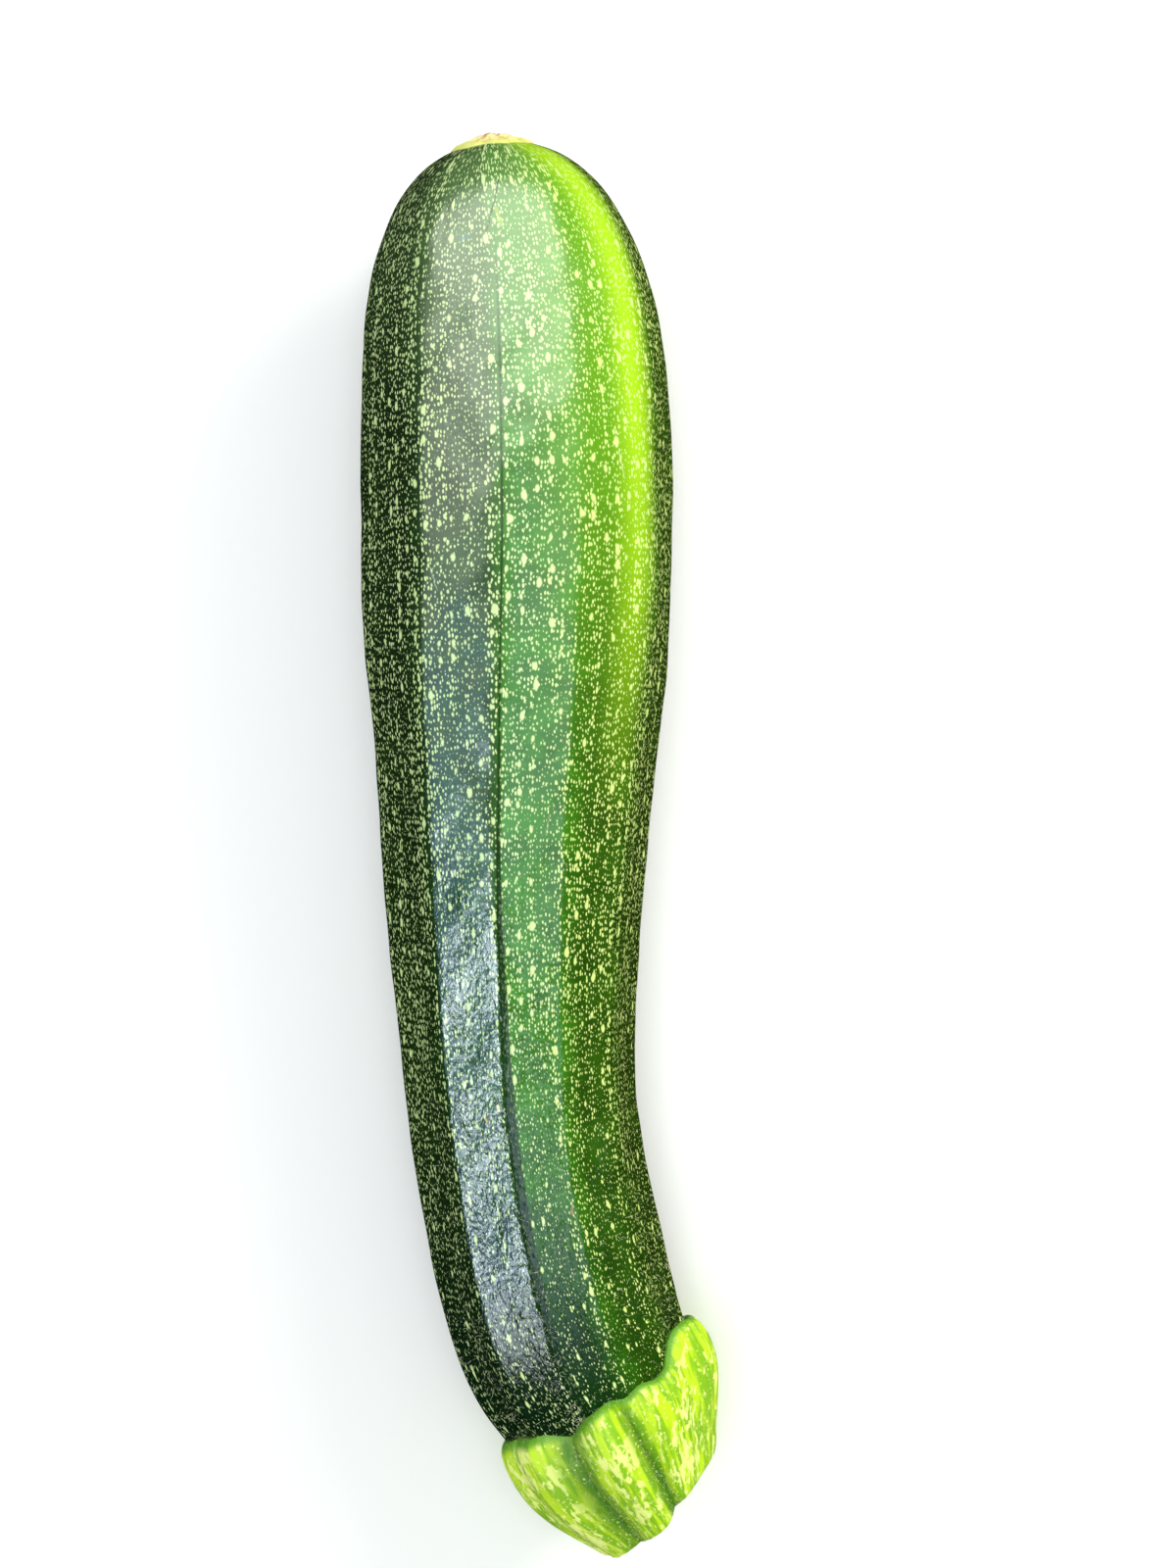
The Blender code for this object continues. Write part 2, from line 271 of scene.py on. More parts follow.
def hump(offset: np.ndarray, reach: float) -> np.ndarray:
    """A smooth hump that is 1 where the offset is 0 and falls away over the reach."""
    return np.exp(-((offset / reach) ** 2))


def eased(part: np.ndarray) -> np.ndarray:
    """Half a turn of a cosine, from 0 to 1 as the part goes from 0 to 1."""
    return 0.5 - 0.5 * np.cos(math.pi * part)


def wrapped(angle: np.ndarray) -> np.ndarray:
    """The same angles in radians, from minus half a turn to half a turn."""
    return np.arctan2(np.sin(angle), np.cos(angle))


@dataclass
class Skin:
    """A surface worked out on a grid, closed round each row, with a pole past each end.

    Attributes:
        points: the grid's points, in millimetres, as (rows, columns, 3).
        values: each named attribute, with one value or place for each point of the grid.
    """

    points: np.ndarray
    values: dict[str, np.ndarray]

    def normals(self) -> np.ndarray:
        """Outward directions: the cross product of the steps round and along the grid."""
        around = np.roll(self.points, -1, axis=1) - np.roll(self.points, 1, axis=1)
        along = np.gradient(self.points, axis=0)
        normal = unit(np.cross(around, along))
        outwards = self.points - self.points.mean(axis=1, keepdims=True)
        return normal if (normal * outwards).sum() > 0 else -normal

    def faces(self) -> list[list[int]]:
        """Four-sided faces between neighbouring points, and a fan of triangles at each pole."""
        rows, columns = self.points.shape[:2]
        row = np.arange(rows - 1)[:, None] * columns
        here = np.arange(columns)[None, :]
        after = (here + 1) % columns
        corners = (row + here, row + after, row + columns + after, row + columns + here)
        sides = np.stack(corners, axis=2).reshape(-1, 4)
        first, last = rows * columns, rows * columns + 1
        base = (rows - 1) * columns
        start = np.stack([np.full(columns, first), after[0], here[0]], axis=1)
        end = np.stack([np.full(columns, last), base + here[0], base + after[0]], axis=1)
        return sides.tolist() + start.tolist() + end.tolist()

    def build(self, name: str, material: Material) -> Object:
        """Makes the mesh, with a pole at the middle of each end row, and its attributes.

        Args:
            name: the piece's name.
            material: its finish.

        Returns:
            The piece, in the frame's place.
        """
        poles = self.points[[0, -1]].mean(axis=1)
        points = np.vstack([self.points.reshape(-1, 3), poles])
        piece = make_piece(name, points, self.faces(), material)
        for title, grid in self.values.items():
            ends = grid[[0, -1]].mean(axis=1)
            flat = np.concatenate([grid.reshape((-1,) + grid.shape[2:]), ends])
            kind, field = ("FLOAT", "value") if flat.ndim == 1 else ("FLOAT_VECTOR", "vector")
            made = piece.data.attributes.new(title, kind, "POINT")
            made.data.foreach_set(field, flat.astype(np.float32).ravel())
        return piece


def make_piece(
    name: str, points: np.ndarray, faces: list[list[int]], material: Material
) -> Object:
    """Makes an object from points in millimetres, with its faces outwards.

    Args:
        name: the object's name.
        points: one row for each point.
        faces: each face's corners.
        material: its finish.

    Returns:
        The object, smooth all over.
    """
    mesh = bpy.data.meshes.new(name)
    mesh.from_pydata((points * MM).tolist(), [], faces)
    mesh.calc_loop_triangles()
    corners = np.empty(len(mesh.loop_triangles) * 3, np.int32)
    mesh.loop_triangles.foreach_get("vertices", corners)
    if np.linalg.det(points[corners.reshape(-1, 3)]).sum() < 0:
        mesh.flip_normals()
    mesh.shade_smooth()
    mesh.materials.append(material)
    piece = bpy.data.objects.new(name, mesh)
    bpy.context.scene.collection.objects.link(piece)
    return piece


def hand_over(piece: Object, slot: str, *nodes: str) -> None:
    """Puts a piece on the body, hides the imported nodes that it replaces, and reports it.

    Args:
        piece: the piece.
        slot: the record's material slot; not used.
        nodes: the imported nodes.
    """
    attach(piece, BODY)
    if nodes:
        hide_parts(*nodes)
    LOG.info("%s: %d faces", piece.name, len(piece.data.polygons))


@dataclass
class Fruit:
    """The ribbed fruit: a bent axis, an outline over its ribs, and faces between the ribs.

    Attributes:
        outline: distance, and radius over the ribs.
        ribs: each rib's angle at the stem and at the blossom end, and its height over the mean
            rib, as a share of the radius.
        keel, lit_band_rib: which rib is the sharp one on top, and which one carries the bright
            band,
        partly a paler stripe and partly painted light.
        waves: count round the fruit, length of one along it, size and phase of each wave.
        dents: distance, angle, length, width and depth of each shallow mark in the skin.
        tuft: how far from the keel the hairs are thickest, over what reach, and how thick.
    """

    axis: Knots = (
        (11.6, -88.7, 17.9), (8.2, -82.8, 18.0), (4.6, -75.1, 18.2), (2.0, -66.5, 18.4),
        (-2.4, -42.7, 19.1), (-4.0, -11.9, 20.5), (-3.8, 21.1, 22.2), (-3.5, 51.1, 23.8),
        (-4.9, 84.6, 25.0), (-7.4, 107.9, 27.6),
    )
    outline: Knots = (
        (0.0, 0.0), (0.9, 7.0), (2.6, 13.4), (4.8, 15.9), (8.0, 16.9), (14.0, 17.7), (23.7, 18.1),
        (42.0, 17.8), (60.5, 18.3), (84.8, 20.2), (103.0, 21.6), (124.2, 23.5), (142.4, 24.1),
        (160.5, 23.7), (175.7, 22.0), (186.5, 18.7), (193.2, 14.6), (197.2, 10.0), (198.9, 6.2),
        (199.5, 3.0), (199.6, 0.0),
    )
    ribs: Knots = (
        (-156.0, -160.0, 0.008), (-117.0, -116.0, -0.012), (-79.0, -77.0, 0.004),
        (-37.0, -35.0, -0.004), (-8.0, -2.5, 0.012), (20.0, 27.0, -0.014), (47.0, 58.0, 0.006),
        (85.0, 90.0, -0.006), (126.0, 128.0, 0.008), (164.0, 159.0, -0.004),
    )
    keel: int = 4
    lit_band_rib: int = 6
    flatness: Knots = (
        (0.0, 1.05), (45.0, 1.05), (85.0, 0.8), (140.0, 0.55), (185.0, 0.3), (199.6, 0.0)
    )
    rounding: Knots = ((0.0, 0.10), (60.0, 0.14), (140.0, 0.30), (199.6, 0.60))
    height_share: Knots = ((0.0, 1.0), (60.0, 1.0), (140.0, 0.5), (199.6, 0.0))
    rest_sink: float = 0.40
    mean_radius: float = 20.0
    rows: int = 318
    face_steps: int = 30
    end_crowding: float = 0.55
    axis_step: float = 0.5
    waves: Knots = (
        (3, 71.0, 0.14, 0.3), (5, 43.0, 0.09, 2.1), (8, -27.0, 0.06, 4.4), (13, 15.0, 0.035, 1.2),
        (19, -9.0, 0.025, 5.0),
    )
    dents: Knots = (
        (184.2, -15.4, 1.6, 3.0, 0.14), (124.6, -15.0, 1.0, 1.2, 0.10),
        (121.0, -17.3, 1.0, 1.2, 0.10), (187.5, -26.0, 11.0, 1.0, 0.06),
        (188.5, -2.0, 9.0, 1.0, 0.08), (37.1, 19.4, 1.4, 1.4, 0.10),
    )
    hair_reach: float = 30.0
    hair_ground: float = 0.25
    tuft: tuple[float, float, float] = (-0.9, 1.3, 3.0)

    def place_rows(self) -> tuple[np.ndarray, np.ndarray]:
        """Distance and radius of each row, closer together on the two domed ends.

        They are spread along the outline by a blend of even and of eased steps.

        Returns:
            The rows' distances, and their radii over the ribs.
        """
        outline = np.array(self.outline)
        knots = lengths_along(outline)
        even = np.linspace(0.0, 1.0, self.rows + 2)[1:-1]
        place = (even + self.end_crowding * (eased(even) - even)) * knots[-1]
        distance, radius = smooth_curve(knots, outline, place).T
        return distance, np.maximum(radius, 0.0)

    def section(self, distance: np.ndarray) -> tuple[np.ndarray, np.ndarray, np.ndarray]:
        """Angle, share of the radius, and offset from the nearest rib, on the whole grid.

        The columns run from rib to rib in equal steps. A face is a sine arch turned inwards
        between two ribs: as deep as a flat face would be times the flatness, and blunted at
        the ribs by the rounding.

        Args:
            distance: each row's distance along the fruit.

        Returns:
            Three grids: radians, a share of one, and radians from the nearest rib.
        """
        share = np.clip(distance / self.outline[-1][0], 0.0, 1.0)[:, None]
        stem, blossom, heights = np.array(self.ribs).T
        ribs = np.radians(stem + (blossom - stem) * share)
        gap = np.concatenate([ribs[:, 1:], ribs[:, :1] + 2.0 * math.pi], axis=1) - ribs
        part = np.arange(self.face_steps) / self.face_steps
        angle = ribs[:, :, None] + gap[:, :, None] * part
        nearest = np.where(part < 0.5, part, part - 1.0) * gap[:, :, None]
        rise = heights[:, None] + (np.roll(heights, -1) - heights)[:, None] * eased(part)
        rise = rise[None] * by_station(self.height_share, distance)[:, None, None]
        rounding = by_station(self.rounding, distance)[:, None]
        arch = np.sqrt(np.sin(math.pi * part) ** 2 + rounding**2) - rounding
        arch /= np.sqrt(1.0 + rounding**2) - rounding
        flatness = by_station(self.flatness, distance)[:, None]
        depth = ((1.0 - np.cos(gap / 2.0)) * flatness)[:, :, None] * arch[:, None, :]
        grid = (len(distance), -1)
        return angle.reshape(grid), (1.0 + rise - depth).reshape(grid), nearest.reshape(grid)

    def frames(self, distance: np.ndarray) -> tuple[np.ndarray, np.ndarray, np.ndarray]:
        """The axis's point, its level side direction, and up square to both, at each distance.

        Args:
            distance: the distances along the fruit.

        Returns:
            Three lists of vectors.
        """
        axis = np.array(self.axis)
        knots = lengths_along(axis)
        place = distance * (knots[-1] / self.outline[-1][0])
        point = smooth_curve(knots, axis, place)
        ahead = smooth_curve(knots, axis, place + self.axis_step)
        behind = smooth_curve(knots, axis, place - self.axis_step)
        along = unit(ahead - behind)
        side = unit(np.cross(along, [0.0, 0.0, 1.0]))
        return point, side, np.cross(side, along)

    def relief(self, distance: np.ndarray, angle: np.ndarray, radius: np.ndarray) -> np.ndarray:
        """How far the skin stands off its smooth shape, in millimetres.

        It is a sum of waves that wind round the fruit a whole number of times and fade out at
        the poles, less a hump for each dent.

        Args:
            distance: each row's distance.
            angle: the grid's angles, in radians.
            radius: each row's radius.

        Returns:
            One height for each point of the grid.
        """
        along = distance[:, None]
        height = np.zeros_like(angle)
        for count, length, size, phase in self.waves:
            height += size * np.sin(count * angle + 2.0 * math.pi * along / length + phase)
        height *= np.clip(radius / self.mean_radius, 0.0, 1.0)[:, None] ** 2
        for middle, turn, length, width, depth in self.dents:
            aside = wrapped(angle - math.radians(turn)) * radius[:, None]
            pressed = hump(along - middle, length / 2.0)
            height -= depth * pressed * hump(aside, width / 2.0)
        return height

    def from_one_rib(self, rib: int, angle: np.ndarray, radius: np.ndarray) -> np.ndarray:
        """How far round the fruit each point is from one rib, in millimetres."""
        return wrapped(angle - angle[:, rib * self.face_steps][:, None]) * radius[:, None]

    def skin(self) -> Skin:
        """Works out the whole surface, settled on what it lies on.

        A point is the axis's point, plus the reach times the sine of its angle to the side,
        plus the reach times the cosine upwards. The reach is the outline's radius times the
        section, plus the relief.

        Returns:
            The surface, with the attributes that its finish reads.
        """
        distance, radius = self.place_rows()
        angle, section, nearest = self.section(distance)
        point, side, up = self.frames(distance)
        reach = radius[:, None] * section + self.relief(distance, angle, radius)
        sine, cosine = np.sin(angle)[:, :, None], np.cos(angle)[:, :, None]
        spoke = sine * side[:, None] + cosine * up[:, None]
        points = point[:, None] + reach[:, :, None] * spoke
        points[:, :, 2] = np.maximum(points[:, :, 2] - self.rest_sink, 0.0)
        along = np.broadcast_to(distance[:, None, None], sine.shape)
        place = np.concatenate([self.mean_radius * sine, self.mean_radius * cosine, along], 2)
        return Skin(
            points,
            {
                "skin_place": place,
                "from_rib": nearest * radius[:, None],
                "from_keel": self.from_one_rib(self.keel, angle, radius),
                "from_lit_band_rib": self.from_one_rib(self.lit_band_rib, angle, radius),
            },
        )

    def hair_density(self, skin: Skin) -> np.ndarray:
        """How thickly long hairs grow: most by the stem, and on the keel's left there.

        Args:
            skin: the fruit's surface.

        Returns:
            One share for each point of its grid.
        """
        beside, reach, most = self.tuft
        near = hump(skin.values["skin_place"][:, :, 2], self.hair_reach)
        return near * (self.hair_ground + most * hump(skin.values["from_keel"] - beside, reach))


@dataclass
class Stem:
    """The lobed stub that caps the narrow end, with its wavy lip and its slanting, dished cut.

    Attributes:
        rings: distance from the root, mean radius, turn in plan and lean of each ring.
        lip: how far the lip reaches up the neck at each angle.
        lobes: each lobe's crest angle, height over the mean radius, and depth of the furrow
            after it, each at the root and at the cut. The last two are shares of the radius.
        fibres: count round the stub, size and phase of each set of fine ridges.
        hair_shares: how thickly hairs grow all over, in the furrows and on the lip.
    """

    root: tuple[float, float, float] = (8.9, -82.5, 18.2)
    heading: float = 28.6
    climb: float = 1.0
    rest_sink: float = 0.40
    rings: Knots = (
        (0.5, 16.2, 4.0, 4.0), (0.2, 17.3, 4.0, 4.0), (0.9, 18.1, 4.5, 4.0), (2.2, 18.6, 5.5, 4.0),
        (4.6, 18.8, 7.5, 4.0), (7.8, 18.4, 9.5, 4.5), (11.2, 17.2, 11.5, 5.0),
        (14.8, 15.3, 13.5, 6.0), (17.7, 13.6, 15.0, 6.5), (19.9, 12.4, 16.0, 7.0),
        (20.7, 11.9, 16.5, 7.0),
    )
    lip: Knots = (
        (-180.0, 0.0), (-90.0, 0.2), (-52.0, 0.9), (-38.0, 0.6), (-23.0, -1.2), (-8.0, 0.3),
        (3.0, 0.5), (13.0, -0.6), (22.0, -0.1), (34.0, -1.1), (43.0, -0.5), (52.0, 2.2),
        (63.0, 2.7), (76.0, 1.2), (95.0, 0.2), (180.0, 0.0),
    )
    lip_fade: float = 5.5
    lobes: Knots = (
        (-144.0, -148.0, 0.03, 0.03, 0.07, 0.07), (-111.0, -114.0, -0.03, 0.00, 0.09, 0.07),
        (-76.0, -86.0, 0.02, 0.06, 0.06, 0.05), (-44.0, -60.0, -0.01, 0.02, 0.20, 0.17),
        (-4.0, -2.0, 0.02, 0.08, 0.10, 0.24), (20.0, 27.0, -0.01, -0.12, 0.08, 0.04),
        (68.0, 78.0, 0.08, 0.00, 0.10, 0.08), (104.0, 112.0, 0.00, -0.03, 0.09, 0.08),
        (142.0, 144.0, 0.03, 0.03, 0.10, 0.10), (178.0, 177.0, -0.03, -0.03, 0.09, 0.09),
    )
    sharpness: float = 0.8
    rows: int = 150
    lobe_steps: int = 40
    face_rows: int = 22
    cut_dish: float = 0.9
    mean_radius: float = 15.0
    fibres: Knots = ((37, 0.05, 0.0), (61, 0.035, 1.3), (90, 0.02, 2.2))
    lip_middle: float = 1.0
    lip_reach: float = 1.6
    hair_shares: tuple[float, float, float] = (0.3, 1.2, 0.3)

    def skin(self) -> Skin:
        """Works out the stub's surface, from inside its lip to the middle of the cut.

        A lobe's crest is a cosine arch, and the furrow between two crests is the sharp foot
        of that arch. Each ring is turned in plan and leans by shifting its points along the
        stub, and the lip reaches up the neck by its own curve. Fine ridges, which are waves
        round the ring, stand for the fibres. The cut face closes in even rings, and is dished
        by a share of one less the square of the radius.

        Returns:
            The surface, in the frame's place, with the attributes that its finish reads.
        """
        stations = np.array(self.rings)
        knots = lengths_along(stations[:, :2])
        spread = np.linspace(0.0, 1.0, self.rows)
        rings = smooth_curve(knots, stations, spread * knots[-1])
        share = np.interp(spread * knots[-1], knots, np.linspace(0.0, 1.0, len(knots)))[:, None]
        root, cut = np.array(self.lobes).reshape(-1, 3, 2).T[:, :, None]
        crests, heights, grooves = root + (cut - root) * share
        following = np.concatenate([crests[:, 1:], crests[:, :1] + 360.0], axis=1)
        part = np.arange(self.lobe_steps) / self.lobe_steps
        angle = crests[:, :, None] + (following - crests)[:, :, None] * part
        angle = np.radians(angle.reshape(self.rows, -1))
        next_up = (np.roll(heights, -1, axis=1) - heights)[:, :, None]
        rise = heights[:, :, None] + next_up * eased(part)
        foot = (1.0 - np.abs(np.cos(math.pi * part))) ** self.sharpness
        depth = (grooves[:, :, None] * foot).reshape(self.rows, -1)
        reach = rings[:, 1][:, None] * (1.0 + rise.reshape(self.rows, -1) - depth)
        for count, size, phase in self.fibres:
            reach += size * np.sin(count * angle + phase)

        turn, lean = np.radians(rings[:, 2:]).T[:, :, None]
        across, upwards = reach * np.sin(angle), reach * np.cos(angle)
        lip = by_station(self.lip, np.degrees(wrapped(angle))) * hump(rings[:, :1], self.lip_fade)
        along = rings[:, :1] - across * np.sin(turn) + upwards * np.sin(lean) - lip
        climb = math.radians(self.climb)
        surface = (self.rest_sink - self.root[2] - along * math.sin(climb)) / math.cos(climb)
        side = np.stack([across * np.cos(turn), np.maximum(upwards, surface), along], axis=2)

        keep = np.linspace(1.0, 0.0, self.face_rows + 1)[1:-1][:, None, None]
        centre = np.array([0.0, 0.0, rings[-1, 0]])
        face = centre + (side[-1] - centre) * keep
        face[:, :, 2] -= (self.cut_dish * (1.0 - keep**2))[:, :, 0]

        from_lip = np.broadcast_to(rings[:, :1], angle.shape)
        unrolled = [self.mean_radius * np.sin(angle), self.mean_radius * np.cos(angle), from_lip]
        rim = np.broadcast_to(keep[:, :, 0], face.shape[:2])
        return Skin(
            self.to_frame(np.concatenate([side, face])),
            {
                "stem_place": np.concatenate([np.stack(unrolled, axis=2), face]),
                "furrow": np.concatenate([depth / np.max(grooves), np.zeros(rim.shape)]),
                "cut_share": np.concatenate([np.full(angle.shape, 2.0), rim]),
            },
        )

    def to_frame(self, local: np.ndarray) -> np.ndarray:
        """Turns the stub's own places to the frame: first the climb, then the heading."""
        tilt = math.radians(90.0 - self.climb)
        across, along = math.sin(tilt), math.cos(tilt)
        climbed = np.array([[1.0, 0.0, 0.0], [0.0, along, -across], [0.0, across, along]])
        turn = math.radians(self.heading)
        across, along = math.sin(turn), math.cos(turn)
        headed = np.array([[along, -across, 0.0], [across, along, 0.0], [0.0, 0.0, 1.0]])
        return local @ (headed @ climbed).T + (np.array(self.root) - [0.0, 0.0, self.rest_sink])

    def hair_density(self, skin: Skin) -> np.ndarray:
        """How thickly hairs grow: most in the furrows and on the lip, and none on the cut.

        Args:
            skin: the stub's surface.

        Returns:
            One share for each point of its grid.
        """
        everywhere, in_furrows, on_lip = self.hair_shares
        lip = hump(skin.values["stem_place"][:, :, 2] - self.lip_middle, self.lip_reach)
        outside = skin.values["cut_share"] > 1.0
        return outside * (everywhere + in_furrows * skin.values["furrow"] + on_lip * lip)


@dataclass
class FlowerScar:
    """The low corky scar on the blunt end, with the ring of dried tissue in its middle.

    Attributes:
        outline: lift and radius of each station, from under the skin to the small stump.
        waves, bumps, wrinkles: count round the scar, size and phase of each.
    """

    outline: Knots = (
        (-1.9, 6.2), (-0.8, 6.4), (-0.2, 5.8), (0.3, 4.6), (0.7, 3.4), (1.15, 2.5), (1.35, 1.9),
        (1.05, 1.3), (1.4, 0.8), (1.6, 0.2),
    )
    waves: Knots = ((3, 0.04, 0.4), (5, 0.035, 1.9), (8, 0.02, 4.0))
    bumps: Knots = ((4, 0.10, 0.9), (7, 0.08, 2.6))
    wrinkles: Knots = ((17, 0.05, 0.2), (29, 0.03, 1.1))
    bumps_start: float = 0.5
    bumps_reach: float = 0.3
    wrinkles_reach: float = 4.0
    rows: int = 60
    columns: int = 180

    def skin(self, fruit: Fruit) -> Skin:
        """Works out the scar's surface on the fruit's tip.

        The profile of lift and radius is carried round the tip's direction. Waves make its
        outline uneven, bumps break its inner ring, and wrinkles run out from its middle.

        Args:
            fruit: the fruit that it sits on.

        Returns:
            The surface, with the attribute that its finish reads.
        """
        stations = np.array(self.outline)
        knots = lengths_along(stations)
        lift, radius = smooth_curve(knots, stations, np.linspace(0, knots[-1], self.rows)).T
        angle = np.arange(self.columns) * 2.0 * math.pi / self.columns
        waves, bumps, wrinkles = (
            sum(size * np.sin(count * angle + phase) for count, size, phase in group)
            for group in (self.waves, self.bumps, self.wrinkles)
        )
        reach = radius[:, None] * (1.0 + waves)
        raised = np.clip((lift - self.bumps_start) / self.bumps_reach, 0.0, 1.0)[:, None]
        creased = np.clip(radius / self.wrinkles_reach, 0.0, 1.0)[:, None]
        height = lift[:, None] + raised * bumps + wrinkles * creased
        point, side, up = fruit.frames(np.array([fruit.outline[-1][0]]))
        axes = np.stack([side[0], up[0], np.cross(up[0], side[0])])
        place = np.stack([reach * np.cos(angle), reach * np.sin(angle), height], axis=2)
        return Skin(point[0] - [0.0, 0.0, fruit.rest_sink] + place @ axes, {"scar_place": place})


@dataclass(frozen=True)
class HairCoat:
    """A coat of short, fine plant hairs, each a closed, three-sided, tapering thorn.

    Attributes:
        name: the piece's name.
        slot: the record's material slot.
        count: how many are drawn, before those too near the ground are left out.
        length: the shortest and longest hair.
        width: a hair's width at its root.
        lean: the most that a hair leans off the skin's own direction.
        droop: how far a hair's upper half bends over, as a share of its length.
        seed: the seed of its random draws.
    """

    name: str
    slot: str
    count: int
    length: tuple[float, float]
    width: float
    lean: float
    droop: float
    seed: int

    ROOT_DEPTH = 0.08
    TAPER = 0.7
    CLEARANCE = 0.15
    ACROSS = (0.31, 0.52, 0.79)
    THORN = (
        (0, 2, 1), (0, 1, 4), (0, 4, 3), (1, 2, 5), (1, 5, 4),
        (2, 0, 3), (2, 3, 5), (3, 4, 6), (4, 5, 6), (5, 3, 6),
    )

    def build(self, skin: Skin, density: np.ndarray, material: Material) -> Object:
        """Sows the hairs on a surface and makes their mesh.

        A root's face is drawn by area times density, and its place in the face at random. The
        hair leaves along the skin's direction, leaning at random, and its upper half droops.

        Args:
            skin: the surface that they grow on.
            density: how thickly they grow, for each point of the grid.
            material: their finish.

        Returns:
            The piece.
        """
        draw = np.random.default_rng(self.seed)
        rows, columns = skin.points.shape[:2]
        around = np.roll(skin.points, -1, axis=1) - skin.points
        along = np.diff(skin.points, axis=0)
        area = np.linalg.norm(np.cross(around[:-1], along), axis=2)
        chance = (area * density[:-1]).ravel()
        chosen = draw.choice(chance.size, self.count, p=chance / chance.sum())
        row, column = np.divmod(chosen, columns)
        u, v = draw.random((2, self.count, 1))
        after = (column + 1) % columns
        starts, outwards = (
            (grid[row, column] * (1 - u) + grid[row, after] * u) * (1 - v)
            + (grid[row + 1, column] * (1 - u) + grid[row + 1, after] * u) * v
            for grid in (skin.points, skin.normals())
        )
        stray = draw.normal(size=(self.count, 3))
        aside = unit(stray - (stray * outwards).sum(axis=1, keepdims=True) * outwards)
        lean = math.radians(self.lean) * np.sqrt(draw.random((self.count, 1)))
        heading = unit(unit(outwards) * np.cos(lean) + aside * np.sin(lean))
        size = self.length[0] + (self.length[1] - self.length[0]) * draw.random((self.count, 1))
        bend = unit(np.cross(heading, draw.normal(size=(self.count, 3)))) * self.droop
        root = starts - outwards * self.ROOT_DEPTH
        middle = root + heading * size * 0.5
        tip = middle + unit(heading + bend) * size * 0.5
        free = np.minimum(tip[:, 2], middle[:, 2]) > self.CLEARANCE
        root, middle, tip, heading = (part[free][:, None] for part in (root, middle, tip, heading))

        first = unit(np.cross(heading, self.ACROSS))
        turns = (np.arange(3) * 2.0 * math.pi / 3.0)[:, None]
        ring = first * np.cos(turns) + np.cross(heading, first) * np.sin(turns)
        half = self.width / 2.0
        points = np.concatenate([root + ring * half, middle + ring * half * self.TAPER, tip], 1)
        faces = np.array(self.THORN) + (np.arange(len(points)) * points.shape[1])[:, None, None]
        return make_piece(self.name, points.reshape(-1, 3), faces.reshape(-1, 3).tolist(), material)


@dataclass(frozen=True)
class Speckles:
    """One size of pale speckle.

    Attributes:
        step: how far apart they are, round the fruit and along it.
        size: a middling speckle's radius, as a share of the step.
        spread: how far a speckle's radius may be from the middling one, as the same share.
        soft: how wide its soft edge is, as the same share.
    """

    step: tuple[float, float]
    size: float
    spread: float
    soft: float

    def draw(self, add: Add, unrolled: Node, growth: Node | float) -> Node:
        """Draws a speckle at each cell's centre, each of its own size.

        Args:
            add: adds a node to the material.
            unrolled: the place on the unrolled skin.
            growth: how much larger the speckles are there, as a share of the step.

        Returns:
            Their mask.
        """
        across, along = self.step
        place = add("VectorMath", (unrolled, (1 / across, 1 / along, 0.0)))
        cells = add(
            "TexVoronoi",
            {"Vector": place, "Scale": 1.0, "Randomness": 0.8},
            voronoi_dimensions="2D",
        )
        chance = add("SeparateXYZ", (cells.outputs["Color"],))
        size = (chance, 2.0 * self.spread, self.size - self.spread)
        reach = add("Math", size, operation="MULTIPLY_ADD")
        reach = add("Math", (reach, growth), operation="ADD")
        inside = add("Math", (reach, cells), operation="SUBTRACT")
        return add("MapRange", (inside, -self.soft, self.soft))


@dataclass(frozen=True)
class Mark:
    """A small blemish in the skin's colour, drawn as a line or as a spot.

    Attributes:
        start: where it starts, as distance and angle.
        end: where it ends.
        width: how wide it is.
        colour: its colour.
        strength: how much it hides the skin.
    """

    start: tuple[float, float]
    end: tuple[float, float]
    width: float
    colour: str
    strength: float

    def step(self, add: Add, unrolled: Node, scale: float) -> tuple:
        """The step of its mask, by how far each place is from its line.

        The nearest place on the line is the start plus the line's direction times how far
        along it the place lies, kept to the line's length.

        Args:
            add: adds a node to the material.
            unrolled: the place on the unrolled skin.
            scale: millimetres of unrolled skin for a radian.

        Returns:
            The step, as masked takes it.
        """
        (low, first), (high, last) = self.start, self.end
        start = np.array([math.radians(first) * scale, low, 0.0])
        line = np.array([math.radians(last) * scale, high, 0.0]) - start
        length = float(np.linalg.norm(line))
        away = add("VectorMath", (unrolled, tuple(start)), operation="SUBTRACT")
        heading = tuple(line / max(length, 1e-6))
        along = add("VectorMath", (away, heading), operation="DOT_PRODUCT")
        along = add("Clamp", {"Value": along, "Min": 0.0, "Max": length})
        nearest = add("VectorMath", {0: heading, "Scale": along}, operation="SCALE")
        gap = add("VectorMath", (away, nearest), operation="DISTANCE")
        return gap, self.width * 0.6, self.width * 0.35, 0.0, self.strength


